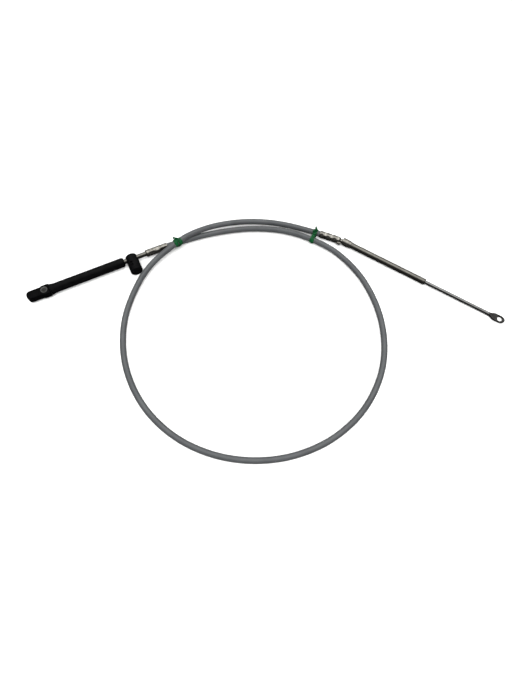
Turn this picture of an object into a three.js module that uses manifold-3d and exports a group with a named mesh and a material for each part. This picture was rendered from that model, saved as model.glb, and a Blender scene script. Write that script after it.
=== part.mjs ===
import * as THREE from 'three';
import { ConvexGeometry } from 'three/addons/geometries/ConvexGeometry.js';
import { mergeVertices } from 'three/addons/utils/BufferGeometryUtils.js';
import Module from 'manifold-3d';

// Push-pull control cable lying coiled on a floor. Millimetres, +Z up, floor at Z = 0.
// Plan positions are measured from the centre of the ring that the jacket forms.
const wasm = await Module();
wasm.setup();

// Clearances: pieces that sit against each other, and pieces that slide or turn on each other.
const SEAT_GAP = 0.3;
const SLIDE_GAP = 0.3;
const ROUND_SIDES = 32;

// Jacket, in the order of its route from the engine end to the control end.
const JACKET_DIAMETER = 7.62;
const JACKET_SIDES = 12;
const JACKET_STEPS = 80;
const TIE_THICKNESS = 0.9;
const JACKET_SOCKET_DEPTH = 18;
// Each point: X and Y in plan, share of a tie band underneath, share of a jacket crossed over.
const JACKET_ROUTE = [
  [-112.4, 127.9, 1, 0],
  [-96.4, 133.3, 1, 0],
  [-80.2, 139.6, 1, 0],
  [-59.8, 145.4, 1, 0],
  [-35.1, 150.8, 0.9, 0],
  [-10.2, 154.1, 0.8, 0],
  [14.7, 154.1, 0.8, 0],
  [39.6, 151.0, 0.9, 0],
  [64.3, 143.5, 1, 0],
  [84.5, 133.8, 1, 0],
  [100.4, 124.4, 0.9, 0],
  [116.0, 111.7, 0.6, 0],
  [144.3, 73.7, 0.3, 0],
  [162.8, 14.7, 0, 0],
  [159.6, -46.8, 0, 0],
  [134.3, -100.1, 0, 0],
  [94.7, -137.5, 0, 0],
  [49.1, -158.2, 0, 0],
  [1.9, -164.5, 0, 0],
  [-45.1, -157.9, 0, 0],
  [-90.7, -137.2, 0, 0],
  [-130.6, -100.1, 0, 0],
  [-157.6, -47.1, 0, 0],
  [-164.3, 15.5, 0, 0.06],
  [-147.1, 76.2, 0.5, 0.35],
  [-129.5, 101.4, 0.8, 0.67],
  [-114.5, 115.4, 1, 0.93],
  [-103.0, 126.3, 1, 1],
  [-90.1, 136.8, 1, 1],
  [-75.6, 145.0, 1, 0.93],
  [-59.6, 152.9, 1, 0.72],
  [-39.3, 160.0, 1, 0.42],
  [-14.4, 164.7, 1, 0.2],
  [10.6, 165.2, 1, 0.1],
  [35.7, 162.3, 1, 0.04],
  [60.6, 156.1, 1, 0],
];

// Engine end. Stations run along the guide tube from the ferrule's front towards the terminal.
const ENGINE_YAW = 204.8;
const ENGINE_START = [-145.3, 111.1];
const BARREL_DIAMETER = 15.9;
const BARREL_LENGTH = 26.2;
const BARREL_STATION = 19.7;
const BARREL_OFFSET = 8.7;
const BARREL_CHAMFER = 0.9;
const BARREL_POCKET_WIDTH = 3.2;
const BARREL_POCKET_LENGTH = 7;
const BARREL_POCKET_DEPTH = 2.5;
const BARREL_POCKET_OFFSET = 2.6;
const GUIDE_TUBE_DIAMETER = 6.35;
const GUIDE_TUBE_BORE = 4;
const GUIDE_TUBE_SEAT = 8;
const SLEEVE_START = 30.2;
const SLEEVE_DIAMETER = 12.7;
const SLEEVE_FLARE_DIAMETER = 14.6;
const SLEEVE_FLARE_LENGTH = 6.5;
const SLEEVE_CHAMFER = 1.6;
const SLEEVE_RIM_LENGTH = 1.5;
const SLEEVE_RIM_ROUND = 0.8;
const SLEEVE_CLOSED_LENGTH = 10.5;
const ENGINE_TRAVEL = 76;
const GUIDE_TUBE_GRIP = 12;
const SLEEVE_SPARE_LENGTH = 2.5;
const PADDLE_LENGTH = 30.1;
const PADDLE_BOSS_LENGTH = 11.5;
const PADDLE_BOSS_WIDTH = 14.8;
const PADDLE_TONGUE_WIDTH = 12.6;
const PADDLE_THICKNESS = 10;
const PADDLE_EDGE = 1;
const PADDLE_CORNER = 5.2;
const PADDLE_STEP_LENGTH = 2;
const BUSHING_FROM_BOSS_END = 7.2;
const BUSHING_DIAMETER = 8.6;
const BUSHING_BORE = 6.6;
const BUSHING_PROUD = 0.35;

// Engine end ferrule, sloping from the guide tube down to the jacket.
const FERRULE_YAW = 27.8;
const FERRULE_LENGTH = 31;
const FERRULE_DIAMETER = 9.6;
const FERRULE_NOSE_LENGTH = 1.8;
const FERRULE_NOSE_WALL = 0.5;
const FERRULE_NOSE_ROUND = 0.9;
const CRIMP_EDGE = 0.4;

// Control end. Stations run from the swivel's centre along the support tube.
const HUB_YAW = -22.15;
const TUBE_YAW = -31.5;
const TUBE_DROOP = 0.6;
const SWIVEL_CENTRE = [124.9, 131.6];
const SWIVEL_LIMIT = 9.35;
const HUB_DIAMETER = 9.6;
const HUB_LENGTH = 36.2;
const HUB_SHOULDER = 8.7;
const HUB_NECK_DIAMETER = 5.6;
const HUB_NECK_LENGTH = 6.2;
const BALL_DIAMETER = 8.4;
const LUG_LENGTH = 5.8;
const LUG_WIDTH = 3.4;
const LUG_HEIGHT = 3.4;
const LUG_OVERHANG = 3.8;
const CAP_DIAMETER = 10.6;
const CAP_BACK = 3.7;
const CAP_FRONT = 9.6;
const CAP_EDGE = 0.6;
const SUPPORT_TUBE_DIAMETER = 7.94;
const SUPPORT_TUBE_START = 5.1;
const SUPPORT_TUBE_END = 119;
const ROD_DIAMETER = 4.76;
const ROD_SHOWN = 89;
const ROD_GRIP = 27;
const ROD_EDGE = 0.4;
const EYE_LENGTH = 21;
const EYE_WIDTH = 10.4;
const EYE_THICKNESS = 2.4;
const EYE_HOLE = 6.8;
const EYE_HOLE_FROM_TIP = 6.3;
const EYE_NECK_LENGTH = 8;

// Ties: bands round both strands, each with a twisted tail.
const TIE_WIDTH = 5.5;
const TIE_TAIL_DIAMETER = 2.6;
const TIE_TAIL_LENGTH = 6;
const ENGINE_TIE_ROUTE = [27, 1];
const CONTROL_TIE_FROM_HUB = 7;

// Axis heights: each end rests on its widest round piece, and the ties hold the jacket level with the hub.
const JACKET_RADIUS = JACKET_DIAMETER / 2;
const TIED_HEIGHT = CAP_DIAMETER / 2;
const TIE_LIFT = TIED_HEIGHT - JACKET_RADIUS;
const ENGINE_HEIGHT = Math.max(SLEEVE_FLARE_DIAMETER, BARREL_DIAMETER) / 2;

// The guide tube still reaches into the sleeve by its grip when the sleeve is run out over its travel.
const GUIDE_TUBE_END = SLEEVE_START + ENGINE_TRAVEL + GUIDE_TUBE_GRIP;
const SLEEVE_END = GUIDE_TUBE_END + SLEEVE_SPARE_LENGTH + SLEEVE_CLOSED_LENGTH;

const MATERIALS = {
  jacket: new THREE.MeshStandardMaterial({ name: 'grey_jacket', color: 0x6f7274, roughness: 0.5 }),
  steel: new THREE.MeshStandardMaterial({ name: 'steel', color: 0xa6a49c, roughness: 0.35, metalness: 1 }),
  plastic: new THREE.MeshStandardMaterial({ name: 'black_plastic', color: 0x1a1a1b, roughness: 0.45 }),
  bushing: new THREE.MeshStandardMaterial({ name: 'bushing_metal', color: 0x8c8c8a, roughness: 0.4, metalness: 1 }),
  tie: new THREE.MeshStandardMaterial({ name: 'green_tie', color: 0x1d6b3c, roughness: 0.55 }),
};

function toSolid(geometry) {
  const plain = geometry.index ? geometry.clone() : geometry;
  plain.deleteAttribute('normal');
  plain.deleteAttribute('uv');
  const merged = mergeVertices(plain, 1e-4);
  const triVerts = new Uint32Array(merged.index.array);
  const vertProperties = new Float32Array(merged.attributes.position.array);
  return new wasm.Manifold(new wasm.Mesh({ numProp: 3, vertProperties, triVerts }));
}

function toGeometry(solid) {
  const result = solid.getMesh();
  const geometry = new THREE.BufferGeometry();
  geometry.setAttribute('position', new THREE.BufferAttribute(Float32Array.from(result.vertProperties), 3));
  geometry.setIndex(Array.from(result.triVerts));
  geometry.computeVertexNormals();
  return geometry;
}

function mesh(name, material, geometry) {
  const body = new THREE.Mesh(geometry, material.clone());
  body.name = name;
  return body;
}

// A frame at a plan point and height: local X runs along the axis, local Z is up.
function axisFrame([x, y], height, yaw, rise) {
  const turn = new THREE.Euler(0, THREE.MathUtils.degToRad(-rise), THREE.MathUtils.degToRad(yaw), 'ZYX');
  return new THREE.Matrix4().makeRotationFromEuler(turn).setPosition(x, y, height);
}

function pointOn(frame, station, side = 0, up = 0) {
  return new THREE.Vector3(station, side, up).applyMatrix4(frame);
}

// Turned body along local X from [station, radius] pairs.
function turned(profile, sides = ROUND_SIDES) {
  const points = profile.map(([station, radius]) => new THREE.Vector2(radius, station));
  return new THREE.LatheGeometry(points, sides).rotateZ(-Math.PI / 2);
}

function rodAlongX(radius, from, to) {
  return turned([[from, 0], [from, radius], [to, radius], [to, 0]]);
}

function hollowAlongX(outer, inner, from, to) {
  return turned([[from, inner], [from, outer], [to, outer], [to, inner], [from, inner]]);
}

const engineFrame = axisFrame(ENGINE_START, ENGINE_HEIGHT, ENGINE_YAW, 0);
const ferruleSlope = THREE.MathUtils.radToDeg(Math.asin((ENGINE_HEIGHT - TIED_HEIGHT) / FERRULE_LENGTH));
const ferruleFrame = axisFrame(ENGINE_START, ENGINE_HEIGHT, FERRULE_YAW, -ferruleSlope);
const hubFrame = axisFrame(SWIVEL_CENTRE, TIED_HEIGHT, HUB_YAW, 0);
const tubeFrame = axisFrame(SWIVEL_CENTRE, TIED_HEIGHT, TUBE_YAW, -TUBE_DROOP);

function jacketPoint([x, y, band, crossed]) {
  const height = JACKET_RADIUS + band * TIE_LIFT + crossed * (JACKET_DIAMETER + SEAT_GAP);
  return new THREE.Vector3(x, y, height);
}

function jacketCurve() {
  const first = FERRULE_LENGTH - JACKET_SOCKET_DEPTH + SEAT_GAP;
  const last = -HUB_LENGTH + JACKET_SOCKET_DEPTH - SEAT_GAP;
  const points = [
    pointOn(ferruleFrame, first),
    pointOn(ferruleFrame, (first + FERRULE_LENGTH) / 2),
    pointOn(ferruleFrame, FERRULE_LENGTH),
    ...JACKET_ROUTE.map(jacketPoint),
    pointOn(hubFrame, -HUB_LENGTH),
    pointOn(hubFrame, (last - HUB_LENGTH) / 2),
    pointOn(hubFrame, last),
  ];
  return new THREE.CatmullRomCurve3(points);
}

function regularSection(radius, sides) {
  const corners = [];
  for (let i = 0; i < sides; i += 1) {
    const angle = (2 * Math.PI * i) / sides;
    corners.push(new THREE.Vector2(radius * Math.cos(angle), radius * Math.sin(angle)));
  }
  return new THREE.Shape(corners);
}

function makeJacket(curve) {
  const section = regularSection(JACKET_RADIUS, JACKET_SIDES);
  const settings = { extrudePath: curve, steps: JACKET_STEPS, bevelEnabled: false };
  return mesh('jacket', MATERIALS.jacket, new THREE.ExtrudeGeometry(section, settings));
}

function makeFerrule() {
  const outer = FERRULE_DIAMETER / 2;
  const nose = GUIDE_TUBE_DIAMETER / 2 + SEAT_GAP + FERRULE_NOSE_WALL;
  const shell = toSolid(turned([
    [0, 0], [0, nose], [FERRULE_NOSE_ROUND, nose + 0.7 * FERRULE_NOSE_ROUND], [FERRULE_NOSE_LENGTH, outer],
    [FERRULE_LENGTH - CRIMP_EDGE, outer], [FERRULE_LENGTH, outer - CRIMP_EDGE], [FERRULE_LENGTH, 0],
  ]));
  const socketStart = FERRULE_LENGTH - JACKET_SOCKET_DEPTH;
  const socket = toSolid(rodAlongX(JACKET_RADIUS + SEAT_GAP, socketStart, 2 * FERRULE_LENGTH));
  const seat = toSolid(rodAlongX(GUIDE_TUBE_DIAMETER / 2 + SEAT_GAP, -GUIDE_TUBE_SEAT, GUIDE_TUBE_SEAT)
    .applyMatrix4(engineFrame).applyMatrix4(ferruleFrame.clone().invert()));
  const body = shell.subtract(socket).subtract(seat);
  return mesh('ferrule_engine_end', MATERIALS.steel, toGeometry(body).applyMatrix4(ferruleFrame));
}

function makeGuideTube() {
  const start = -GUIDE_TUBE_SEAT + SEAT_GAP;
  const tube = hollowAlongX(GUIDE_TUBE_DIAMETER / 2, GUIDE_TUBE_BORE / 2, start, GUIDE_TUBE_END);
  return mesh('guide_tube', MATERIALS.steel, tube.applyMatrix4(engineFrame));
}

function makeBarrel() {
  const radius = BARREL_DIAMETER / 2;
  const half = BARREL_LENGTH / 2;
  const body = toSolid(turned([
    [-half, 0], [-half, radius - BARREL_CHAMFER], [BARREL_CHAMFER - half, radius],
    [half - BARREL_CHAMFER, radius], [half, radius - BARREL_CHAMFER], [half, 0],
  ]).rotateZ(Math.PI / 2).translate(BARREL_STATION, BARREL_OFFSET, 0));
  const bore = toSolid(rodAlongX(GUIDE_TUBE_DIAMETER / 2 + SLIDE_GAP, 0, 2 * BARREL_STATION));
  const pocket = toSolid(new THREE.BoxGeometry(BARREL_POCKET_WIDTH, BARREL_POCKET_LENGTH, 2 * BARREL_POCKET_DEPTH)
    .translate(BARREL_STATION + BARREL_POCKET_OFFSET, BARREL_OFFSET + BARREL_POCKET_OFFSET, radius));
  return mesh('anchor_barrel', MATERIALS.plastic,
    toGeometry(body.subtract(bore).subtract(pocket)).applyMatrix4(engineFrame));
}

function makeSleeve() {
  const outer = SLEEVE_DIAMETER / 2;
  const flare = SLEEVE_FLARE_DIAMETER / 2;
  const bore = GUIDE_TUBE_DIAMETER / 2 + SLIDE_GAP;
  const floor = SLEEVE_END - SLEEVE_CLOSED_LENGTH;
  const body = turned([
    [floor, 0], [floor, bore], [SLEEVE_START, bore], [SLEEVE_START, outer - SLEEVE_CHAMFER],
    [SLEEVE_START + SLEEVE_CHAMFER, outer], [SLEEVE_END - SLEEVE_FLARE_LENGTH, outer],
    [SLEEVE_END - SLEEVE_RIM_LENGTH, flare], [SLEEVE_END, flare - SLEEVE_RIM_ROUND], [SLEEVE_END, 0],
  ]);
  return mesh('guide_sleeve', MATERIALS.plastic, body.applyMatrix4(engineFrame));
}

function paddleOutline() {
  const start = SLEEVE_END + SEAT_GAP;
  const end = start + PADDLE_LENGTH;
  const boss = PADDLE_BOSS_WIDTH / 2 - PADDLE_EDGE;
  const tongue = PADDLE_TONGUE_WIDTH / 2 - PADDLE_EDGE;
  const shoulder = start + PADDLE_BOSS_LENGTH;
  const tip = end - PADDLE_EDGE;
  const corner = PADDLE_CORNER - PADDLE_EDGE;
  const outline = new THREE.Shape();
  outline.moveTo(start + PADDLE_EDGE, -boss);
  outline.lineTo(shoulder - PADDLE_STEP_LENGTH, -boss);
  outline.lineTo(shoulder, -tongue);
  outline.lineTo(tip - corner, -tongue);
  outline.absarc(tip - corner, corner - tongue, corner, -Math.PI / 2, 0, false);
  outline.absarc(tip - corner, tongue - corner, corner, 0, Math.PI / 2, false);
  outline.lineTo(shoulder, tongue);
  outline.lineTo(shoulder - PADDLE_STEP_LENGTH, boss);
  outline.lineTo(start + PADDLE_EDGE, boss);
  outline.closePath();
  return outline;
}

function makePaddle() {
  const depth = PADDLE_THICKNESS - 2 * PADDLE_EDGE;
  const bevel = { bevelEnabled: true, bevelThickness: PADDLE_EDGE, bevelSize: PADDLE_EDGE, bevelSegments: 2 };
  const slab = new THREE.ExtrudeGeometry(paddleOutline(), { depth, curveSegments: 6, ...bevel })
    .translate(0, 0, -depth / 2);
  const centre = SLEEVE_END + BUSHING_FROM_BOSS_END;
  const hole = toSolid(rodAlongX(BUSHING_DIAMETER / 2 + SEAT_GAP, -PADDLE_THICKNESS, PADDLE_THICKNESS)
    .rotateY(-Math.PI / 2).translate(centre, 0, 0));
  return mesh('terminal_paddle', MATERIALS.plastic,
    toGeometry(toSolid(slab).subtract(hole)).applyMatrix4(engineFrame));
}

function makeBushing() {
  const half = PADDLE_THICKNESS / 2 + BUSHING_PROUD;
  const ring = hollowAlongX(BUSHING_DIAMETER / 2, BUSHING_BORE / 2, -half, half)
    .rotateY(-Math.PI / 2).translate(SLEEVE_END + BUSHING_FROM_BOSS_END, 0, 0);
  return mesh('terminal_bushing', MATERIALS.bushing, ring.applyMatrix4(engineFrame));
}

function arcProfile(radius, fromAngle, toAngle, parts) {
  const points = [];
  for (let i = 0; i <= parts; i += 1) {
    const angle = THREE.MathUtils.degToRad(fromAngle + ((toAngle - fromAngle) * i) / parts);
    points.push([-radius * Math.cos(angle), radius * Math.sin(angle)]);
  }
  return points;
}

function makeHub() {
  const outer = HUB_DIAMETER / 2;
  const neck = HUB_NECK_DIAMETER / 2;
  const ball = BALL_DIAMETER / 2;
  const neckAngle = THREE.MathUtils.radToDeg(Math.asin(neck / ball));
  const body = toSolid(turned([
    [-HUB_LENGTH, 0], [-HUB_LENGTH, outer - CRIMP_EDGE], [CRIMP_EDGE - HUB_LENGTH, outer],
    [-HUB_SHOULDER, outer], [-HUB_NECK_LENGTH, neck],
    ...arcProfile(ball, neckAngle, 180, 10),
  ]));
  const socketEnd = JACKET_SOCKET_DEPTH - HUB_LENGTH;
  const socket = toSolid(rodAlongX(JACKET_RADIUS + SEAT_GAP, -2 * HUB_LENGTH, socketEnd));
  const lug = toSolid(new THREE.BoxGeometry(LUG_LENGTH, LUG_WIDTH, LUG_HEIGHT)
    .translate(LUG_OVERHANG - HUB_SHOULDER - LUG_LENGTH / 2, -outer, 0));
  return mesh('hub_control_end', MATERIALS.steel,
    toGeometry(body.add(lug).subtract(socket)).applyMatrix4(hubFrame));
}

function makeSwivelCap() {
  const outer = CAP_DIAMETER / 2;
  const cavity = BALL_DIAMETER / 2 + SLIDE_GAP;
  const seat = SUPPORT_TUBE_DIAMETER / 2 + SEAT_GAP;
  const swing = CAP_BACK * Math.tan(THREE.MathUtils.degToRad(SWIVEL_LIMIT));
  const mouth = HUB_NECK_DIAMETER / 2 + swing + SLIDE_GAP;
  const mouthAngle = THREE.MathUtils.radToDeg(Math.asin(mouth / cavity));
  const seatAngle = 180 - THREE.MathUtils.radToDeg(Math.asin(seat / cavity));
  const body = turned([
    [-CAP_BACK, mouth], [-CAP_BACK, outer - CAP_EDGE], [CAP_EDGE - CAP_BACK, outer], [CAP_FRONT - CAP_EDGE, outer],
    [CAP_FRONT, outer - CAP_EDGE], [CAP_FRONT, seat],
    ...arcProfile(cavity, seatAngle, mouthAngle, 8), [-CAP_BACK, mouth],
  ]);
  return mesh('swivel_cap', MATERIALS.steel, body.applyMatrix4(tubeFrame));
}

function makeSupportTube() {
  const bore = ROD_DIAMETER / 2 + SLIDE_GAP;
  const tube = hollowAlongX(SUPPORT_TUBE_DIAMETER / 2, bore, SUPPORT_TUBE_START, SUPPORT_TUBE_END);
  return mesh('support_tube', MATERIALS.steel, tube.applyMatrix4(tubeFrame));
}

function eyeOutline(neckStart, centre) {
  const half = EYE_WIDTH / 2;
  const neck = ROD_DIAMETER / 2;
  const palmStart = neckStart + EYE_NECK_LENGTH;
  const outline = new THREE.Shape();
  outline.moveTo(neckStart, -neck);
  outline.quadraticCurveTo((neckStart + palmStart) / 2, -neck, palmStart, -half);
  outline.absellipse(centre, 0, EYE_HOLE_FROM_TIP, half, -Math.PI / 2, Math.PI / 2, false);
  outline.lineTo(palmStart, half);
  outline.quadraticCurveTo((neckStart + palmStart) / 2, neck, neckStart, neck);
  outline.closePath();
  return outline;
}

function makeControlRod() {
  const radius = ROD_DIAMETER / 2;
  const start = SUPPORT_TUBE_END - ROD_GRIP;
  const neckStart = SUPPORT_TUBE_END + ROD_SHOWN;
  const palmStart = neckStart + EYE_NECK_LENGTH;
  const centre = neckStart + EYE_LENGTH - EYE_HOLE_FROM_TIP;
  const bar = toSolid(turned([
    [start, 0], [start, radius - ROD_EDGE], [start + ROD_EDGE, radius], [neckStart, radius],
    [palmStart, EYE_THICKNESS / 2], [palmStart, 0],
  ]));
  const palm = toSolid(new THREE.ExtrudeGeometry(eyeOutline(neckStart, centre), {
    depth: EYE_THICKNESS, curveSegments: 18, bevelEnabled: false,
  }).translate(0, 0, -EYE_THICKNESS / 2));
  const hole = toSolid(rodAlongX(EYE_HOLE / 2, -EYE_THICKNESS, EYE_THICKNESS)
    .rotateY(-Math.PI / 2).translate(centre, 0, 0));
  return mesh('control_rod', MATERIALS.steel,
    toGeometry(bar.add(palm).subtract(hole)).applyMatrix4(tubeFrame));
}

// Points of a circle round a strand in the plane through the tie's centre plus an offset along its axis.
function strandRing(strand, centre, axis, offset, radius) {
  const plane = centre.clone().addScaledVector(axis, offset);
  const reach = plane.clone().sub(strand.point).dot(axis) / strand.direction.dot(axis);
  const middle = strand.point.clone().addScaledVector(strand.direction, reach);
  const side = new THREE.Vector3(0, 0, 1).cross(axis).normalize();
  const up = axis.clone().cross(side).normalize();
  const points = [];
  for (let i = 0; i < 20; i += 1) {
    const angle = (2 * Math.PI * i) / 20;
    const point = middle.clone().addScaledVector(side, radius * Math.cos(angle));
    points.push(point.addScaledVector(up, radius * Math.sin(angle)));
  }
  return points;
}

function wrap(strands, centre, axis, halfWidth, radius) {
  const points = strands.flatMap((strand) => [-halfWidth, halfWidth]
    .flatMap((offset) => strandRing(strand, centre, axis, offset, radius)));
  return toSolid(new ConvexGeometry(points));
}

// A band round two strands with a tail that leaves its upper outer edge.
function makeTie(name, strands, tailLean) {
  const centre = strands[0].point.clone().add(strands[1].point).multiplyScalar(0.5);
  const axis = strands[0].direction.clone().add(strands[1].direction).setZ(0).normalize();
  const inner = JACKET_RADIUS + SEAT_GAP;
  const hole = wrap(strands, centre, axis, TIE_WIDTH, inner);
  const band = wrap(strands, centre, axis, TIE_WIDTH / 2, inner + TIE_THICKNESS).subtract(hole);
  const outward = new THREE.Vector3(0, 0, 1).cross(axis).multiplyScalar(Math.cos(tailLean));
  outward.z = Math.sin(tailLean);
  const upper = strands[0].point.z > strands[1].point.z + 1 ? strands[0] : strands[1];
  const root = upper.point.clone().addScaledVector(outward, inner + TIE_THICKNESS / 2);
  const tail = toSolid(rodAlongX(TIE_TAIL_DIAMETER / 2, 0, TIE_TAIL_LENGTH)
    .applyQuaternion(new THREE.Quaternion().setFromUnitVectors(new THREE.Vector3(1, 0, 0), outward))
    .translate(root.x, root.y, root.z));
  return mesh(name, MATERIALS.tie, toGeometry(band.add(tail.subtract(hole))));
}

function nearestOnCurve(curve, target, from, to) {
  let best = from;
  let bestDistance = Infinity;
  for (let i = 0; i <= 400; i += 1) {
    const share = from + ((to - from) * i) / 400;
    const distance = curve.getPointAt(share).distanceTo(target);
    if (distance < bestDistance) {
      best = share;
      bestDistance = distance;
    }
  }
  return { point: curve.getPointAt(best), direction: curve.getTangentAt(best) };
}

function makeTies(curve) {
  const [outerPoint, innerPoint] = ENGINE_TIE_ROUTE;
  const engineStrands = [
    nearestOnCurve(curve, jacketPoint(JACKET_ROUTE[outerPoint]), 0.7, 1),
    nearestOnCurve(curve, jacketPoint(JACKET_ROUTE[innerPoint]).lerp(jacketPoint(JACKET_ROUTE[0]), 0.5), 0, 0.3),
  ];
  const hubMouth = pointOn(hubFrame, -HUB_LENGTH - CONTROL_TIE_FROM_HUB);
  const controlStrands = [
    nearestOnCurve(curve, hubMouth, 0, 0.35),
    nearestOnCurve(curve, hubMouth, 0.8, 1),
  ];
  return [
    makeTie('tie_engine_end', engineStrands, THREE.MathUtils.degToRad(35)),
    makeTie('tie_control_end', controlStrands, THREE.MathUtils.degToRad(30)),
  ];
}

// Puts the origin at the middle of the footprint, level with the lowest point.
function settle(object) {
  const box = new THREE.Box3().setFromObject(object);
  const middle = box.getCenter(new THREE.Vector3());
  for (const child of object.children) {
    child.geometry.translate(-middle.x, -middle.y, -box.min.z);
  }
  return object;
}

function build() {
  const curve = jacketCurve();
  const object = new THREE.Group();
  object.add(
    makeJacket(curve), makeFerrule(), makeGuideTube(), makeBarrel(), makeSleeve(), makePaddle(), makeBushing(),
    makeHub(), makeSwivelCap(), makeSupportTube(), makeControlRod(), ...makeTies(curve),
  );
  return settle(object);
}

export default build();
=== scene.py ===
import math

import bmesh
import bpy
from mathutils import Matrix, Vector


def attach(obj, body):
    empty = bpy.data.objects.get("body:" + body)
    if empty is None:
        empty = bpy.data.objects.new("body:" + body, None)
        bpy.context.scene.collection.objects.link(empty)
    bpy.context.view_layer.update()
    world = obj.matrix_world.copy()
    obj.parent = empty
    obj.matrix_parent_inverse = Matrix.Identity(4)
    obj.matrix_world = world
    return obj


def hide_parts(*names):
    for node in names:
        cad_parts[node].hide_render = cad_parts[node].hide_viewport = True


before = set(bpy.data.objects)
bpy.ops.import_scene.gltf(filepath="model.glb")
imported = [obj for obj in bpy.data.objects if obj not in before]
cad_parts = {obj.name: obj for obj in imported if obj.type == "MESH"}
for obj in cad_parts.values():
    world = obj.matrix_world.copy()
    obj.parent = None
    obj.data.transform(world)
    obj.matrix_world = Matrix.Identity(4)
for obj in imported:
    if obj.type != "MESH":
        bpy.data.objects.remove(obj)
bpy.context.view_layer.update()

MM = 0.001
# From the ring's centre, which the plan positions are measured from, to the part's own origin.
SHIFT = Vector((-13.932, -0.5421, 0.094))

SEAT_GAP = 0.3
JACKET_RADIUS = 3.81
JACKET_STEPS = 520
TIED_HEIGHT = 5.3
ENGINE_START = (-145.3, 111.1)
ENGINE_YAW = 204.8
FERRULE_YAW = 27.8
HUB_YAW = -22.15
TUBE_YAW = -31.5
TUBE_RISE = -0.6
SWIVEL_CENTRE = (124.9, 131.6)
CRIMP_RADIUS = 4.8
SOCKET_RADIUS = 4.12
SOCKET_DEPTH = 18.0
FERRULE_LENGTH = 31.0
HUB_LENGTH = 36.2
HUB_SHOULDER = 8.7
BALL_RADIUS = 4.2
LUG_OVERHANG = 3.8
LUG_LENGTH = 5.8
LUG_REACH = 6.5
LUG_HEIGHT = 3.4
LUG_HALF_WIDTH = 1.7
GUIDE_TUBE_RADIUS = 3.175
GUIDE_TUBE_END = 118.7
BARREL_STATION = 19.7
BARREL_OFFSET = 8.7
BARREL_RADIUS = 7.95
BARREL_HALF_LENGTH = 13.1
BARREL_BORE_RADIUS = 3.5
ENGINE_HEIGHT = BARREL_RADIUS
SLEEVE_START = 30.2
SLEEVE_END = 131.2
SLEEVE_RADIUS = 6.35
FLANGE_RADIUS = 7.3
PADDLE_LENGTH = 30.1
PADDLE_BOSS_LENGTH = 11.5
PADDLE_HALF_HEIGHT = 5
BUSHING_STATION = 7.2
BUSHING_RADIUS = 4.3
BUSHING_HOLE_RADIUS = 3.3
CAP_RADIUS = 5.0
TUBE_START = 5.1
TUBE_END = 119.0
TUBE_RADIUS = 3.97
ROD_RADIUS = 2.38
EYE_START = 208.0
EYE_TIP = 229.0
EYE_HOLE_AT = 222.7
EYE_HOLE_RADIUS = 3.4
EYE_HALF_WIDTH = 5.2
EYE_HALF_THICKNESS = 1.2

# Plan position, share of a tie band underneath, share of a jacket crossed over: the route in part.mjs.
JACKET_ROUTE = [
    (-112.4, 127.9, 1, 0), (-96.4, 133.3, 1, 0), (-80.2, 139.6, 1, 0), (-59.8, 145.4, 1, 0),
    (-35.1, 150.8, 0.9, 0), (-10.2, 154.1, 0.8, 0), (14.7, 154.1, 0.8, 0), (39.6, 151.0, 0.9, 0),
    (64.3, 143.5, 1, 0), (84.5, 133.8, 1, 0), (100.4, 124.4, 0.9, 0), (116.0, 111.7, 0.6, 0),
    (144.3, 73.7, 0.3, 0), (162.8, 14.7, 0, 0), (159.6, -46.8, 0, 0), (134.3, -100.1, 0, 0),
    (94.7, -137.5, 0, 0), (49.1, -158.2, 0, 0), (1.9, -164.5, 0, 0), (-45.1, -157.9, 0, 0),
    (-90.7, -137.2, 0, 0), (-130.6, -100.1, 0, 0), (-157.6, -47.1, 0, 0), (-164.3, 15.5, 0, 0.06),
    (-147.1, 76.2, 0.5, 0.35), (-129.5, 101.4, 0.8, 0.67), (-114.5, 115.4, 1, 0.93), (-103.0, 126.3, 1, 1),
    (-90.1, 136.8, 1, 1), (-75.6, 145.0, 1, 0.93), (-59.6, 152.9, 1, 0.72), (-39.3, 160.0, 1, 0.42),
    (-14.4, 164.7, 1, 0.2), (10.6, 165.2, 1, 0.1), (35.7, 162.3, 1, 0.04), (60.6, 156.1, 1, 0),
]


# Camera, light and floor

CAMERA_PLACE = (3.148, -277.737, 590.996)
CAMERA_TILT = 24
CAMERA_LENS = 27.04


def add_camera():
    data = bpy.data.cameras.new("camera")
    data.sensor_width = 36
    data.lens = CAMERA_LENS
    data.clip_start = 0.02
    data.clip_end = 20
    camera = bpy.data.objects.new("camera", data)
    camera.location = (Vector(CAMERA_PLACE) + SHIFT) * MM
    camera.rotation_euler = (math.radians(CAMERA_TILT), 0, 0)
    bpy.context.scene.collection.objects.link(camera)
    bpy.context.scene.camera = camera


def add_area(name, location, target, size, power, colour=(1, 1, 1), glossy=True):
    data = bpy.data.lights.new(name, "AREA")
    data.energy = power
    data.color = colour
    data.size = size
    light = bpy.data.objects.new(name, data)
    light.location = location
    light.rotation_euler = (Vector(target) - Vector(location)).to_track_quat("-Z", "Y").to_euler()
    light.visible_glossy = glossy
    bpy.context.scene.collection.objects.link(light)


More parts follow.
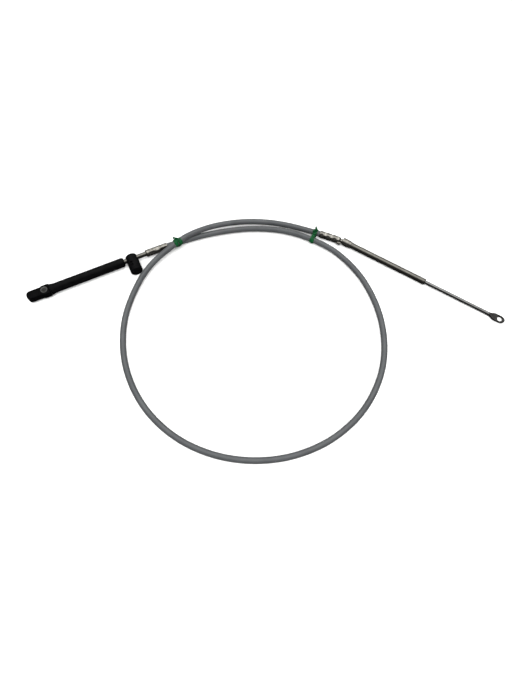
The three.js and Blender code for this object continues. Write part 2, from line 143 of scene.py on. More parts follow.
def add_world():
    world = bpy.data.worlds.new("studio")
    world.use_nodes = True
    nodes, links = world.node_tree.nodes, world.node_tree.links
    background = nodes["Background"]
    where = nodes.new("ShaderNodeTexCoord")
    split = nodes.new("ShaderNodeSeparateXYZ")
    mix = nodes.new("ShaderNodeMath")
    mix.operation = "MULTIPLY_ADD"
    mix.inputs[1].default_value = 0.55
    ramp = nodes.new("ShaderNodeValToRGB")
    ramp.color_ramp.elements[0].position = 0.36
    ramp.color_ramp.elements[0].color = (0.055, 0.055, 0.056, 1)
    ramp.color_ramp.elements[1].position = 0.95
    ramp.color_ramp.elements[1].color = (1.0, 1.0, 1.0, 1)
    links.new(where.outputs["Generated"], split.inputs[0])
    links.new(split.outputs["Y"], mix.inputs[0])
    links.new(split.outputs["Z"], mix.inputs[2])
    links.new(mix.outputs[0], ramp.inputs[0])
    links.new(ramp.outputs[0], background.inputs["Color"])
    background.inputs["Strength"].default_value = 1.25
    bpy.context.scene.world = world


def add_stage():
    mesh = bpy.data.meshes.new("floor")
    half = 6.0
    corners = [(-half, -half, 0), (half, -half, 0), (half, half, 0), (-half, half, 0)]
    mesh.from_pydata(corners, [], [(0, 1, 2, 3)])
    floor = bpy.data.objects.new("floor", mesh)
    bpy.context.scene.collection.objects.link(floor)
    made = material("floor_white", (0.93, 0.93, 0.93), 0.75)
    mesh.materials.append(made)
    floor.visible_glossy = False
    add_world()
    add_area("key", (0.0, -0.62, 1.45), (0, 0.02, 0), size=1.5, power=36, colour=(1.0, 1.0, 0.99), glossy=False)
    add_area("top", (0.0, 0.35, 1.7), (0, 0, 0), size=1.2, power=5)


# Materials

def material(name, colour, roughness, metallic=0.0):
    made = bpy.data.materials.new(name)
    made.use_nodes = True
    shader = made.node_tree.nodes["Principled BSDF"]
    shader.inputs["Base Color"].default_value = (*colour, 1)
    shader.inputs["Roughness"].default_value = roughness
    shader.inputs["Metallic"].default_value = metallic
    return made


def noise(made, scale, stretch, detail=4.0, coordinates="Object", yaw=0.0):
    nodes, links = made.node_tree.nodes, made.node_tree.links
    where = nodes.new("ShaderNodeTexCoord")
    mapping = nodes.new("ShaderNodeMapping")
    mapping.vector_type = "TEXTURE"
    mapping.inputs["Rotation"].default_value = (0, 0, math.radians(yaw))
    mapping.inputs["Scale"].default_value = [1 / s for s in stretch]
    texture = nodes.new("ShaderNodeTexNoise")
    texture.inputs["Scale"].default_value = scale
    texture.inputs["Detail"].default_value = detail
    links.new(where.outputs[coordinates], mapping.inputs["Vector"])
    links.new(mapping.outputs["Vector"], texture.inputs["Vector"])
    return texture.outputs["Fac"]


def spread(made, value, low, high, from_low=0.3, from_high=0.7):
    nodes, links = made.node_tree.nodes, made.node_tree.links
    node = nodes.new("ShaderNodeMapRange")
    node.inputs["From Min"].default_value = from_low
    node.inputs["From Max"].default_value = from_high
    node.inputs["To Min"].default_value = low
    node.inputs["To Max"].default_value = high
    links.new(value, node.inputs["Value"])
    return node.outputs["Result"]


def tint(made, value, first, second, from_low=0.3, from_high=0.7):
    nodes, links = made.node_tree.nodes, made.node_tree.links
    ramp = nodes.new("ShaderNodeValToRGB")
    ramp.color_ramp.elements[0].position = from_low
    ramp.color_ramp.elements[0].color = (*first, 1)
    ramp.color_ramp.elements[1].position = from_high
    ramp.color_ramp.elements[1].color = (*second, 1)
    links.new(value, ramp.inputs[0])
    links.new(ramp.outputs[0], made.node_tree.nodes["Principled BSDF"].inputs["Base Color"])


def roughen(made, value, low, high):
    links = made.node_tree.links
    links.new(spread(made, value, low, high), made.node_tree.nodes["Principled BSDF"].inputs["Roughness"])


def bump(made, heights, distance, strength):
    nodes, links = made.node_tree.nodes, made.node_tree.links
    normal = None
    for value, share in heights:
        node = nodes.new("ShaderNodeBump")
        node.inputs["Distance"].default_value = distance
        node.inputs["Strength"].default_value = strength * share
        links.new(value, node.inputs["Height"])
        if normal is not None:
            links.new(normal, node.inputs["Normal"])
        normal = node.outputs["Normal"]
    links.new(normal, nodes["Principled BSDF"].inputs["Normal"])


def jacket_material():
    made = material("jacket_grey", (0.16, 0.17, 0.175), 0.42)
    streaks = noise(made, 1, (14, 260, 1), 5, "UV")
    blotches = noise(made, 60, (1, 1, 1), 3)
    grain = noise(made, 3500, (1, 1, 1), 2)
    tint(made, blotches, (0.050, 0.053, 0.056), (0.066, 0.070, 0.073))
    roughen(made, streaks, 0.34, 0.5)
    bump(made, [(grain, 0.5), (streaks, 1)], 0.00006, 0.35)
    return made


def steel_base(name, colour, roughness):
    made = material(name, colour, roughness, 1.0)
    made.node_tree.nodes["Principled BSDF"].inputs["Specular Tint"].default_value = (0.2, 0.2, 0.2, 1)
    return made


def drawn_steel(name, first, second, low, high, strength=0.3, yaw=0.0):
    made = steel_base(name, first, low)
    lines = noise(made, 1, (30, 5200, 5200), 4, yaw=yaw)
    cloud = noise(made, 90, (1, 2, 2), 4)
    tint(made, cloud, first, second)
    roughen(made, lines, low, high)
    bump(made, [(lines, 1)], 0.00004, strength)
    return made


def turned_steel(name, first, second, low, high):
    made = steel_base(name, first, low)
    rings = noise(made, 1, (4800, 60, 60), 4)
    cloud = noise(made, 260, (1, 1, 1), 5)
    tint(made, cloud, first, second)
    roughen(made, cloud, low, high)
    bump(made, [(rings, 0.7), (cloud, 1)], 0.00008, 0.3)
    return made


def dull_metal():
    made = material("dull_bushing", (0.09, 0.09, 0.088), 0.6, 0.15)
    rings = noise(made, 1, (60, 60, 2400), 3)
    cloud = noise(made, 500, (1, 1, 1), 4)
    tint(made, cloud, (0.075, 0.075, 0.073), (0.105, 0.105, 0.102))
    roughen(made, cloud, 0.5, 0.7)
    bump(made, [(rings, 1)], 0.00005, 0.3)
    return made


def forged_steel():
    made = steel_base("forged_steel", (0.06, 0.058, 0.055), 0.4)
    pits = noise(made, 900, (1, 1, 1), 6)
    cloud = noise(made, 220, (1, 1, 1), 3)
    tint(made, cloud, (0.03, 0.029, 0.028), (0.085, 0.083, 0.079))
    roughen(made, pits, 0.32, 0.55)
    bump(made, [(pits, 1)], 0.0001, 0.3)
    return made


def black_plastic(name, first, second, gloss, yaw=0.0):
    made = material(name, first, 0.5)
    made.node_tree.nodes["Principled BSDF"].inputs["Specular IOR Level"].default_value = gloss
    grain = noise(made, 2600, (1, 1, 1), 3)
    flow = noise(made, 1, (70, 900, 900), 4, yaw=yaw)
    cloud = noise(made, 140, (1, 1, 1), 4)
    tint(made, cloud, first, second)
    roughen(made, flow, 0.36, 0.52)
    bump(made, [(grain, 1), (flow, 0.6)], 0.00006, 0.3)
    return made


def green_plastic():
    made = material("green_plastic", (0.012, 0.12, 0.04), 0.4)
    made.node_tree.nodes["Principled BSDF"].inputs["Specular IOR Level"].default_value = 0.2
    ribs = noise(made, 1400, (1, 1, 1), 4)
    cloud = noise(made, 420, (1, 1, 1), 3)
    tint(made, cloud, (0.001, 0.030, 0.008), (0.004, 0.085, 0.022))
    roughen(made, ribs, 0.32, 0.5)
    bump(made, [(ribs, 1)], 0.0001, 0.35)
    return made


# Placing and meshing

def axis_frame(plan, height, yaw, rise=0.0):
    place = Vector((plan[0], plan[1], height)) + SHIFT
    turn = Matrix.Rotation(math.radians(yaw), 4, "Z") @ Matrix.Rotation(math.radians(-rise), 4, "Y")
    return Matrix.Translation(place * MM) @ turn


def on_axis(axis, station, side=0.0, up=0.0):
    return axis @ Vector((station * MM, side * MM, up * MM))


def placed(name, mesh, axis):
    made = bpy.data.objects.new(name, mesh)
    bpy.context.scene.collection.objects.link(made)
    made.matrix_world = axis
    return made


def facing_out(mesh):
    work = bmesh.new()
    work.from_mesh(mesh)
    bmesh.ops.recalc_face_normals(work, faces=work.faces)
    work.to_mesh(mesh)
    work.free()


def add_object(name, verts, faces, finish, axis, body, sharp=32, uvs=None):
    mesh = bpy.data.meshes.new(name)
    mesh.from_pydata(verts, [], faces)
    if uvs:
        layer = mesh.uv_layers.new(name="UVMap")
        for loop in mesh.loops:
            layer.data[loop.index].uv = uvs[loop.vertex_index]
    facing_out(mesh)
    shade(mesh, sharp)
    mesh.materials.append(finish)
    made = placed(name, mesh, axis)
    if body:
        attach(made, body)
    return made


def shade(mesh, sharp):
    mesh.polygons.foreach_set("use_smooth", [True] * len(mesh.polygons))
    mesh.set_sharp_from_angle(angle=math.radians(sharp))
    mesh.update()


def softened(profile, radius, closed=False):
    """The profile in millimetres, with each corner off the axis rounded by up to that radius."""
    count = len(profile)
    made = []
    for i, (x, y) in enumerate(profile):
        at_end = not closed and i in (0, count - 1)
        if at_end or y <= 1e-6:
            made.append((x, y))
            continue
        here = Vector((x, y))
        before = Vector(profile[i - 1]) - here
        after = Vector(profile[(i + 1) % count]) - here
        cut = min(radius, 0.45 * before.length, 0.45 * after.length)
        if cut < 1e-4 or before.angle(after) > math.radians(170):
            made.append((x, y))
            continue
        first = here + before.normalized() * cut
        last = here + after.normalized() * cut
        for k in range(5):
            t = k / 4
            made.append(tuple((1 - t) ** 2 * first + 2 * t * (1 - t) * here + t ** 2 * last))
    return made


def lathe(profile, sides=64, closed=False, swell=None):
    """Vertices and faces, in metres, of a profile turned about X; swell gives the radius at an angle."""
    verts, faces, rings = [], [], []
    for x, r in profile:
        if r <= 1e-6:
            rings.append([len(verts)])
            verts.append((x * MM, 0, 0))
            continue
        ring = []
        for i in range(sides):
            angle = 2 * math.pi * i / sides
            radius = swell(x, angle, r) if swell else r
            ring.append(len(verts))
            verts.append((x * MM, radius * MM * math.cos(angle), radius * MM * math.sin(angle)))
        rings.append(ring)
    pairs = list(zip(rings, rings[1:]))
    if closed:
        pairs.append((rings[-1], rings[0]))
    for a, b in pairs:
        for i in range(sides):
            j = (i + 1) % sides
            if len(a) == 1 and len(b) == 1:
                continue
            if len(a) == 1:
                faces.append((a[0], b[i], b[j]))
            elif len(b) == 1:
                faces.append((a[i], b[0], a[j]))
            else:
                faces.append((a[i], b[i], b[j], a[j]))
    return verts, faces


def dense(profile, step):
    """The profile with points added so that none is further than step from the next."""
    made = [profile[0]]
    for (x0, y0), (x1, y1) in zip(profile, profile[1:]):
        parts = max(1, math.ceil(math.hypot(x1 - x0, y1 - y0) / step))
        for i in range(1, parts + 1):
            made.append((x0 + (x1 - x0) * i / parts, y0 + (y1 - y0) * i / parts))
    return made


def sweep(points, section, sides_of, closed=False, cap=True):
    """A section of (side, up) pairs carried along points; sides_of(i) gives the two directions there."""
    verts, faces = [], []
    count = len(section)
    for i, p in enumerate(points):
        side, up = sides_of(i)
        for a, b in section:
            verts.append(tuple(p + side * a + up * b))
    rings = len(points)
    for i in range(rings if closed else rings - 1):
        a, b = i * count, ((i + 1) % rings) * count
        for k in range(count):
            m = (k + 1) % count
            faces.append((a + k, b + k, b + m, a + m))
    if cap and not closed:
        faces.append(tuple(range(count)))
        faces.append(tuple(range((rings - 1) * count, rings * count)))
    return verts, faces


def carve(target, cutters):
    """Takes the cutters out of target."""
    for cutter in cutters:
        modifier = target.modifiers.new("cut", "BOOLEAN")
        modifier.operation = "DIFFERENCE"
        modifier.solver = "EXACT"
        modifier.object = cutter
    bpy.context.view_layer.update()
    graph = bpy.context.evaluated_depsgraph_get()
    made = bpy.data.meshes.new_from_object(target.evaluated_get(graph))
    target.modifiers.clear()
    target.data = made
    for cutter in cutters:
        bpy.data.objects.remove(cutter)
    shade(made, 32)


def squared_up(made, axis):
    """Turns the mesh itself, so that the object's own axes run with the part's."""
    made.data.transform(axis.to_3x3().to_4x4())
    made.matrix_world = Matrix.Translation(axis.translation)


def box_cutter(axis, low, high):
    made = bpy.data.meshes.new("cutter")
    work = bmesh.new()
    bmesh.ops.create_cube(work, size=1)
    for v in work.verts:
        v.co = Vector([(low[k] + (v.co[k] + 0.5) * (high[k] - low[k])) * MM for k in range(3)])
    bmesh.ops.bevel(work, geom=work.edges[:], offset=0.35 * MM, segments=2, affect="EDGES")
    work.to_mesh(made)
    work.free()
    return placed("cutter", made, axis)


def turned_cutter(axis, profile):
    verts, faces = lathe(profile)
    made = bpy.data.meshes.new("cutter")
    made.from_pydata(verts, [], faces)
    facing_out(made)
    return placed("cutter", made, axis)


ENGINE = axis_frame(ENGINE_START, ENGINE_HEIGHT, ENGINE_YAW)
SLOPE = math.degrees(math.asin((ENGINE_HEIGHT - TIED_HEIGHT) / FERRULE_LENGTH))
FERRULE = axis_frame(ENGINE_START, ENGINE_HEIGHT, FERRULE_YAW, -SLOPE)
HUB = axis_frame(SWIVEL_CENTRE, TIED_HEIGHT, HUB_YAW)
TUBE = axis_frame(SWIVEL_CENTRE, TIED_HEIGHT, TUBE_YAW, TUBE_RISE)
UPRIGHT = Matrix.Rotation(math.radians(-90), 4, "Y")


# Jacket

def route_point(index):
    x, y, band, crossed = JACKET_ROUTE[index]
    height = JACKET_RADIUS + band * (TIED_HEIGHT - JACKET_RADIUS) + crossed * (2 * JACKET_RADIUS + SEAT_GAP)
    return (Vector((x, y, height)) + SHIFT) * MM


def jacket_points():
    first = FERRULE_LENGTH - SOCKET_DEPTH + SEAT_GAP
    last = -HUB_LENGTH + SOCKET_DEPTH - SEAT_GAP
    points = [on_axis(FERRULE, s) for s in (first, (first + FERRULE_LENGTH) / 2, FERRULE_LENGTH)]
    points += [route_point(i) for i in range(len(JACKET_ROUTE))]
    points += [on_axis(HUB, s) for s in (-HUB_LENGTH, (last - HUB_LENGTH) / 2, last)]
    return points


def through(points, per_span):
    """Points of a centripetal spline through all of the points."""
    ends = [2 * points[0] - points[1], *points, 2 * points[-1] - points[-2]]
    made = []
    for i in range(1, len(ends) - 2):
        p0, p1, p2, p3 = ends[i - 1:i + 3]
        d0, d1, d2 = (math.sqrt((b - a).length) for a, b in ((p0, p1), (p1, p2), (p2, p3)))
        t1 = ((p1 - p0) / d0 - (p2 - p0) / (d0 + d1) + (p2 - p1) / d1) * d1
        t2 = ((p2 - p1) / d1 - (p3 - p1) / (d1 + d2) + (p3 - p2) / d2) * d1
        square = 3 * (p2 - p1) - 2 * t1 - t2
        cube = 2 * (p1 - p2) + t1 + t2
        for k in range(per_span):
            t = k / per_span
            made.append(p1 + t1 * t + square * t ** 2 + cube * t ** 3)
    made.append(points[-1])
    return made


def evenly(points, count):
    """The same line in count equal steps, and its length."""
    reach = [0.0]
    for a, b in zip(points, points[1:]):
        reach.append(reach[-1] + (b - a).length)
    made, k = [], 0
    for i in range(count + 1):
        s = reach[-1] * i / count
        while k < len(reach) - 2 and reach[k + 1] < s:
            k += 1
        t = (s - reach[k]) / (reach[k + 1] - reach[k])
        made.append(points[k].lerp(points[k + 1], min(1, t)))
    return made, reach[-1]


def relaxed(points, rounds):
    """The same line with its small kinks eased, its ends kept."""
    made = list(points)
    for _ in range(rounds):
        made = [made[0], *[(a + 2 * b + c) / 4 for a, b, c in zip(made, made[1:], made[2:])], made[-1]]
    return made


def add_jacket(finish):
    line, _ = evenly(through(jacket_points(), 16), JACKET_STEPS)
    line = relaxed(line, 14)
    line, length = evenly(line, JACKET_STEPS)
    sides = 28
    uv_per_metre = 10
    section = [(JACKET_RADIUS * MM * math.cos(2 * math.pi * k / sides),
                JACKET_RADIUS * MM * math.sin(2 * math.pi * k / sides)) for k in range(sides)]

    def sides_of(i):
        along = (line[min(i + 1, JACKET_STEPS)] - line[max(i - 1, 0)]).normalized()
        side = along.cross(Vector((0, 0, 1))).normalized()
        return side, side.cross(along).normalized()

    verts, faces = sweep(line, section, sides_of)
    uvs = [(i * length / JACKET_STEPS * uv_per_metre, k / sides)
           for i in range(JACKET_STEPS + 1) for k in range(sides)]
    jacket = add_object("jacket_grey_tube", verts, faces, finish, Matrix.Identity(4), "conduit", 60, uvs)
    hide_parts("jacket")
    return line


# Crimped fittings

def crimped(bands, depth, phase):
    """Six flats pressed into each band, every other band turned by half a flat."""
    fade = 0.5

    def swell(x, angle, r):
        for n, (low, high) in enumerate(bands):
            if low < x < high:
                edge = min(1, min(x - low, high - x) / fade)
                turn = phase + (math.pi / 6 if n % 2 else 0)
                part = ((angle + turn) % (math.pi / 3)) - math.pi / 6
                flat = (r - depth) / math.cos(part)
                return r + (min(r, flat) - r) * edge
        return r

    return swell


def add_ferrule(finish):
    outer, end = CRIMP_RADIUS, FERRULE_LENGTH
    profile = softened([(0.1, 3.5), (0.1, 3.98), (0.8, 4.5), (1.8, outer), (end - 0.5, outer),
                        (end, outer - 0.45), (end, SOCKET_RADIUS), (end - 3, SOCKET_RADIUS)], 0.35)
    bands = [(4.4, 11.6), (13.4, 19.0), (20.8, 29.4)]
    verts, faces = lathe(dense(profile, 0.45), 72, swell=crimped(bands, depth=0.34, phase=0.2))
    ferrule = add_object("ferrule_crimped", verts, faces, finish, FERRULE, "conduit", 24)
    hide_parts("ferrule_engine_end")


def add_hub(finish):
    outer, mouth, neck = CRIMP_RADIUS, -HUB_LENGTH, 2.8
    ball = [(-BALL_RADIUS * math.cos(math.radians(a)), BALL_RADIUS * math.sin(math.radians(a)))
            for a in range(42, 181, 6)]
    ball[-1] = (BALL_RADIUS, 0)
    profile = softened([(-33, SOCKET_RADIUS), (mouth, SOCKET_RADIUS), (mouth, outer - 0.4),
                        (mouth + 0.4, outer), (-HUB_SHOULDER, outer), (-6.4, neck + 0.1),
                        (-6.0, neck), (-3.4, neck)], 0.35) + ball
    bands = [(-34.8 + 4.6 * n, -34.8 + 4.6 * n + 3.6) for n in range(6)]
    verts, faces = lathe(dense(profile, 0.45), 72, swell=crimped(bands, depth=0.36, phase=0.35))
    hub = add_object("hub_crimped", verts, faces, finish, HUB, "conduit", 24)
    lug_end = LUG_OVERHANG - HUB_SHOULDER
    mesh = bpy.data.meshes.new("hub_lug")
    work = bmesh.new()
    for x in (lug_end - LUG_LENGTH, lug_end):
        for y in (-LUG_REACH, LUG_HEIGHT - LUG_REACH):
            for z in (-LUG_HALF_WIDTH, LUG_HALF_WIDTH):
                work.verts.new(Vector((x, y, z)) * MM)
    bmesh.ops.convex_hull(work, input=work.verts)
    bmesh.ops.dissolve_limit(work, angle_limit=0.05, verts=work.verts, edges=work.edges)
    bmesh.ops.bevel(work, geom=work.edges[:], offset=0.7 * MM, segments=3, affect="EDGES")
    work.to_mesh(mesh)
    work.free()
    shade(mesh, 40)
    mesh.materials.append(finish)
    piece = placed("hub_lug", mesh, HUB)
    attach(piece, "conduit")
    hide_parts("hub_control_end")


# Engine end

def add_guide_tube(finish):
    start, end, outer, inner = -7, GUIDE_TUBE_END, GUIDE_TUBE_RADIUS, 2
    profile = softened([(start, inner), (start, outer), (end, outer), (end, inner)], 0.3, True)
    verts, faces = lathe(profile, 48, True)
    tube = add_object("guide_tube_steel", verts, faces, finish, ENGINE, "conduit")
    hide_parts("guide_tube")


def add_barrel(finish):
    centre = ENGINE @ Matrix.Translation(Vector((BARREL_STATION, BARREL_OFFSET, 0)) * MM)
    across = centre @ Matrix.Rotation(math.radians(90), 4, "Z")
    radius, half = BARREL_RADIUS, BARREL_HALF_LENGTH
    rim = radius - 1.1
    profile = softened([(-half, 0), (-half, rim), (1 - half, radius),
                        (half - 1, radius), (half, rim), (half, 0)], 0.7)
    verts, faces = lathe(profile, 80)
    barrel = add_object("barrel_black", verts, faces, finish, across, None)
    cutters = [
        turned_cutter(ENGINE, [(0, 0), (0, BARREL_BORE_RADIUS), (40, BARREL_BORE_RADIUS), (40, 0)]),
        box_cutter(centre, (0.5, -0.9, 5.4), (3.7, 2.3, 12)),
        box_cutter(centre, (0.5, 3.3, 5.4), (3.7, 6.1, 12)),
    ]
    carve(barrel, cutters)
    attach(barrel, "barrel")
    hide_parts("anchor_barrel")


def add_sleeve(finish):
    start, end, outer, flange = SLEEVE_START, SLEEVE_END, SLEEVE_RADIUS, FLANGE_RADIUS
    bore = GUIDE_TUBE_RADIUS + SEAT_GAP
    profile = softened([(end - 12, 0), (end - 12, bore), (start + 2.2, bore), (start + 1.6, 4.3), (start, 4.3),
                        (start, outer - 1.7), (start + 2.0, outer), (end - 6.5, outer),
                        (end - 3.6, flange - 0.6), (end - 1.6, flange), (end - 0.5, flange),
                        (end, flange - 0.6), (end, 0)], 0.45)
    verts, faces = lathe(profile, 80)
    sleeve = add_object("sleeve_black", verts, faces, finish, ENGINE, "terminal")
    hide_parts("guide_sleeve")


def add_paddle(finish):
    start = SLEEVE_END + SEAT_GAP
    tip = start + PADDLE_LENGTH
    step = start + PADDLE_BOSS_LENGTH
    half, tongue, corner = 7.4, 6.3, 5.2
    outline = [(start, -half), (step - 2.4, -half), (step - 0.4, -tongue)]
    for hand, turn in ((-1, range(-90, 1, 15)), (1, range(0, 91, 15))):
        for a in turn:
            outline.append((tip - corner + corner * math.cos(math.radians(a)),
                            hand * (tongue - corner) + corner * math.sin(math.radians(a))))
    outline += [(step - 0.4, tongue), (step - 2.4, half), (start, half)]
    mesh = bpy.data.meshes.new("paddle_black")
    work = bmesh.new()
    low = [work.verts.new(Vector((x, y, -PADDLE_HALF_HEIGHT)) * MM) for x, y in outline]
    high = [work.verts.new(Vector((x, y, PADDLE_HALF_HEIGHT)) * MM) for x, y in outline]
    work.faces.new(low)
    work.faces.new(high)
    for i in range(len(outline)):
        j = (i + 1) % len(outline)
        work.faces.new((low[i], low[j], high[j], high[i]))
    bmesh.ops.recalc_face_normals(work, faces=work.faces)
    rims = [e for e in work.edges if abs(e.verts[0].co.z - e.verts[1].co.z) < 1e-6]
    bmesh.ops.bevel(work, geom=rims, offset=1.5 * MM, segments=4, affect="EDGES", profile=0.55)
    work.to_mesh(mesh)
    work.free()
    mesh.materials.append(finish)
    paddle = placed("paddle_black", mesh, ENGINE)
    bore = ENGINE @ Matrix.Translation(Vector((SLEEVE_END + BUSHING_STATION, 0, 0)) * MM) @ UPRIGHT
    hole = BUSHING_RADIUS + SEAT_GAP
    carve(paddle, [turned_cutter(bore, [(-8, 0), (-8, hole), (8, hole), (8, 0)])])
    squared_up(paddle, ENGINE)
    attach(paddle, "terminal")
    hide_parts("terminal_paddle")
    return bore


def add_bushing(finish, bore):
    half, chamfer = PADDLE_HALF_HEIGHT + 0.35, 0.9
    outer, rim, hole = BUSHING_RADIUS, BUSHING_RADIUS - 0.5, BUSHING_HOLE_RADIUS
    profile = softened([(-half, rim), (-half, outer), (half, outer), (half, rim),
                        (half - chamfer, hole), (chamfer - half, hole)], 0.3, True)
    verts, faces = lathe(profile, 64, True)
    bushing = add_object("bushing_turned", verts, faces, finish, bore, "terminal")
    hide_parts("terminal_bushing")


# Control end

def add_cap(finish):
    outer, grip, seat = CAP_RADIUS, TUBE_RADIUS + 0.15, BALL_RADIUS + 0.25
    profile = softened([(-3.7, 3.75), (-3.7, 4.5), (-3.0, outer), (5.2, outer), (6.4, 4.75), (9.2, 4.5),
                        (9.6, 4.35), (9.6, grip), (4.6, grip), (-2.4, seat)], 0.4, True)
    verts, faces = lathe(profile, 72, True)
    cap = add_object("swivel_cap_rolled", verts, faces, finish, TUBE, "tube")
    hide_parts("swivel_cap")


def add_support_tube(finish):
    outer, inner = TUBE_RADIUS, ROD_RADIUS + SEAT_GAP
    profile = softened([(TUBE_START, inner), (TUBE_START, outer), (TUBE_END - 1.2, outer),
                        (TUBE_END, 3.55), (TUBE_END, inner)], 0.5, True)
    verts, faces = lathe(profile, 72, True)
    tube = add_object("support_tube_steel", verts, faces, finish, TUBE, "tube")
    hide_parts("support_tube")


def rod_section(station):
    """Half width, half thickness and squareness of the rod and its flattened eye."""
    if station <= EYE_START:
        return ROD_RADIUS, ROD_RADIUS, 2.0
    t = max(0.0, min(1, (station - EYE_START - 0.6) / 7.6))
    ease = t * t * (3 - 2 * t)
    thick = ROD_RADIUS + (EYE_HALF_THICKNESS - ROD_RADIUS) * ease
    if station < EYE_HOLE_AT - 3:
        width = ROD_RADIUS + (EYE_HALF_WIDTH - ROD_RADIUS) * ease
    else:
        u = max(0.0, (station - EYE_HOLE_AT) / (EYE_TIP - EYE_HOLE_AT))
        width = EYE_HALF_WIDTH * math.sqrt(max(0.0, 1 - u * u))
    return width, thick, 2.0 + 3.0 * ease


def add_rod(bright, forged):
    stations = [TUBE_END - 27, TUBE_END - 26.6, TUBE_END, 150, 180, EYE_START]
    stations += [EYE_START + 0.5 * n for n in range(1, 32)]
    reach = EYE_TIP - EYE_HOLE_AT
    stations += [EYE_HOLE_AT + reach * math.sin(math.radians(a)) for a in range(12, 90, 6)]
    sides = 64
    verts, faces = [], []
    for s in stations:
        width, thick, power = rod_section(s)
        for k in range(sides):
            a = 2 * math.pi * k / sides
            c, d = math.cos(a), math.sin(a)
            y = width * math.copysign(abs(c) ** (2 / power), c)
            z = thick * math.copysign(abs(d) ** (2 / power), d)
            verts.append((s * MM, y * MM, z * MM))
    for i in range(len(stations) - 1):
        for k in range(sides):
            m = (k + 1) % sides
            faces.append((i * sides + k, (i + 1) * sides + k, (i + 1) * sides + m, i * sides + m))
    faces.append(tuple(range(sides)))
    verts.append((EYE_TIP * MM, 0, 0))
    end = (len(stations) - 1) * sides
    for k in range(sides):
        faces.append((end + k, len(verts) - 1, end + (k + 1) % sides))
    rod = add_object("control_rod_bright", verts, faces, bright, TUBE, None)
    hole = TUBE @ Matrix.Translation(Vector((EYE_HOLE_AT, 0, 0)) * MM) @ UPRIGHT
    r, half = EYE_HOLE_RADIUS, EYE_HALF_THICKNESS
    carve(rod, [turned_cutter(hole, [(-3, 0), (-3, r + 0.8), (-half, r + 0.3), (-0.85, r), (0.85, r),
                                     (half, r + 0.3), (3, r + 0.8), (3, 0)])])
    rod.data.materials.clear()
    rod.data.materials.append(bright)
    rod.data.materials.append(forged)
    for face in rod.data.polygons:
        face.material_index = 1 if face.center.x > (EYE_START - 0.8) * MM else 0
    squared_up(rod, TUBE)
    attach(rod, "rod")
    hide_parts("control_rod")


# Ties

def nearest(line, target, low, high):
    """The line's point nearest to target between two shares of its length, and the line's direction there."""
    steps = range(int(low * JACKET_STEPS), int(high * JACKET_STEPS))
    best = min(steps, key=lambda i: (line[i] - target).length)
    return line[best], (line[best + 1] - line[best - 1]).normalized()


def hull(points):
    """The convex outline round points in a plane."""
    points = sorted(points)

    def half(ordered):
        made = []
        for p in ordered:
            while len(made) > 1 and ((made[-1][0] - made[-2][0]) * (p[1] - made[-2][1])
                                     - (made[-1][1] - made[-2][1]) * (p[0] - made[-2][0])) <= 0:
                made.pop()
            made.append(p)
        return made[:-1]

    return half(points) + half(points[::-1])


def band_path(strands, centre, axis, radius, lean):
    """A closed line round both strands, whose two sides lean apart along the axis by twice lean."""
    side = Vector((0, 0, 1)).cross(axis).normalized()
    up = axis.cross(side).normalized()
    flat = []
    for point, along in strands:
        middle = point + along * ((centre - point).dot(axis) / along.dot(axis))
        a, b = (middle - centre).dot(side), (middle - centre).dot(up)
        flat += [(a + radius * math.cos(2 * math.pi * k / 48), b + radius * math.sin(2 * math.pi * k / 48))
                 for k in range(48)]
    loop = [centre + side * a + up * b for a, b in hull(flat)]
    loop, _ = evenly([*loop, loop[0]], 96)
    width = max((p - centre).dot(side) for p in loop)
    return [p + axis * (lean * (p - centre).dot(side) / width) for p in loop[:-1]]


# A ribbon across: share of its half width and height in millimetres, with the wire's rib in the middle.
RIBBON = [(-1.0, 0.06), (-0.86, 0.26), (-0.34, 0.24), (-0.16, 0.42), (0.16, 0.42), (0.34, 0.24),
          (0.86, 0.26), (1.0, 0.06), (1.0, -0.2), (0.86, -0.4), (-0.86, -0.4), (-1.0, -0.2)]
BAND_RADIUS = 4.42
FLOOR_CLEARANCE = 0.5


def ribbon_band(strands, centre, axis, half_width, offset, lean, lift):
    loop = band_path(strands, centre, axis, BAND_RADIUS * MM + lift, lean)
    loop = [Vector((p.x, p.y, max(p.z, FLOOR_CLEARANCE * MM))) for p in loop]
    middle = sum(loop, Vector()) / len(loop)
    count = len(loop)
    section = [(a * half_width * MM, b * MM) for a, b in RIBBON]

    def sides_of(i):
        along = (loop[(i + 1) % count] - loop[i - 1]).normalized()
        outward = along.cross(axis).normalized()
        if outward.dot(loop[i] - middle) < 0:
            outward.negate()
        return axis, outward

    return sweep([p + axis * offset for p in loop], section, sides_of, closed=True)


def twist(points, radius, half_width, turns):
    """Two ribbons twisted round each other along points."""
    count = len(points)
    verts, faces = [], []
    section = [(a * half_width * MM, b * MM * 0.8) for a, b in RIBBON]
    for start in (0, math.pi):
        def sides_of(i):
            along = (points[min(i + 1, count - 1)] - points[max(i - 1, 0)]).normalized()
            side = along.cross(Vector((0.2, 0.1, 1))).normalized()
            up = side.cross(along)
            angle = start + 2 * math.pi * turns * i / (count - 1)
            out = side * math.cos(angle) + up * math.sin(angle)
            return along.cross(out).normalized(), out

        centres = [p + sides_of(i)[1] * radius * MM for i, p in enumerate(points)]
        v, f = sweep(centres, section, sides_of)
        base = len(verts)
        verts += v
        faces += [tuple(base + k for k in face) for face in f]
    return verts, faces


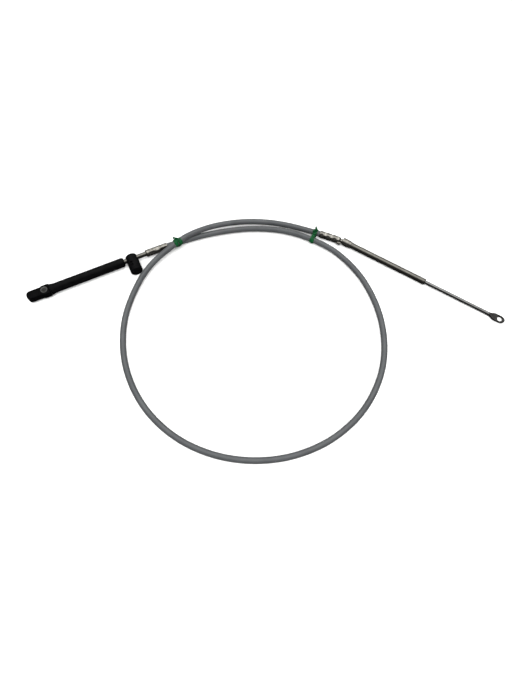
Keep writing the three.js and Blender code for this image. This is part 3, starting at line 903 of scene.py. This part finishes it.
def add_tie(name, node, finish, strands, bands, tail):
    """A band is half width, offset, lean and lift; the tail's points are counted from the upper strand."""
    centre = (strands[0][0] + strands[1][0]) / 2
    axis = strands[0][1] + strands[1][1]
    axis.z = 0
    axis.normalize()
    verts, faces = [], []
    for half_width, offset, lean, lift in bands:
        v, f = ribbon_band(strands, centre, axis, half_width, offset * MM, lean * MM, lift * MM)
        faces += [tuple(len(verts) + k for k in face) for face in f]
        verts += v
    side = Vector((0, 0, 1)).cross(axis).normalized()
    upper = strands[0] if strands[0][0].z > strands[1][0].z + MM else strands[1]
    line = [upper[0] + (side * a + Vector((0, 0, b)) + axis * c) * MM for a, b, c in tail]
    line, _ = evenly(through(line, 12), 44)
    v, f = twist(line, radius=0.8, half_width=1.25, turns=1.6)
    faces += [tuple(len(verts) + k for k in face) for face in f]
    verts += v
    home = Matrix.Translation(centre)
    back = home.inverted()
    tie = add_object(name, [tuple(back @ Vector(p)) for p in verts], faces, finish, home, "conduit", 40)
    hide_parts(node)


def add_ties(line, finish):
    beside = route_point(1).lerp(route_point(0), 0.5)
    engine = [nearest(line, route_point(27), 0.7, 1), nearest(line, beside, 0.004, 0.3)]
    mouth = on_axis(HUB, -HUB_LENGTH - 7)
    control = [nearest(line, mouth, 0.004, 0.35), nearest(line, mouth, 0.8, 0.996)]
    add_tie("tie_green_left", "tie_engine_end", finish, engine,
            [(2.5, -2.4, 1.0, 0.0), (2.5, 2.2, -0.9, 0.1), (2.0, -0.2, 2.6, 0.55), (1.8, 0.3, -2.4, 0.9)],
            [(-1.5, 4.6, 1.6), (1.0, 5.6, 0.6), (3.2, 5.2, -1.2), (5.6, 5.6, -3.4)])
    add_tie("tie_green_right", "tie_control_end", finish, control,
            [(2.1, 1.0, 0.9, 0.0), (2.0, 0.8, -1.2, 0.1), (1.4, 0.9, 0.1, 0.3)],
            [(-7.2, 4.8, -1.8), (-5.0, 5.7, 2.2), (-2.6, 5.9, -2.0), (0.2, 5.8, 1.4), (3.4, 5.4, -0.4),
             (6.2, 6.0, -1.2)])


add_camera()
add_stage()
steel = drawn_steel("drawn_steel", (0.135, 0.130, 0.116), (0.185, 0.179, 0.161), 0.2, 0.34)
bright = drawn_steel("bright_steel", (0.20, 0.20, 0.195), (0.26, 0.26, 0.255), 0.12, 0.24, 0.15, TUBE_YAW)
crimp = turned_steel("crimped_steel", (0.19, 0.182, 0.162), (0.34, 0.328, 0.295), 0.14, 0.3)
plastic = black_plastic("black_plastic", (0.0010, 0.0010, 0.0012), (0.0030, 0.0030, 0.0034), 0.06)
paddle_plastic = black_plastic("black_paddle_plastic", (0.0006, 0.0006, 0.0007), (0.0020, 0.0020, 0.0023),
                               0.035, ENGINE_YAW)
route = add_jacket(jacket_material())
add_ferrule(crimp)
add_hub(crimp)
add_guide_tube(steel)
add_barrel(plastic)
add_sleeve(plastic)
bore = add_paddle(paddle_plastic)
add_bushing(dull_metal(), bore)
add_cap(crimp)
add_support_tube(steel)
add_rod(bright, forged_steel())
add_ties(route, green_plastic())

view = bpy.context.scene.view_settings
view.view_transform = "Standard"
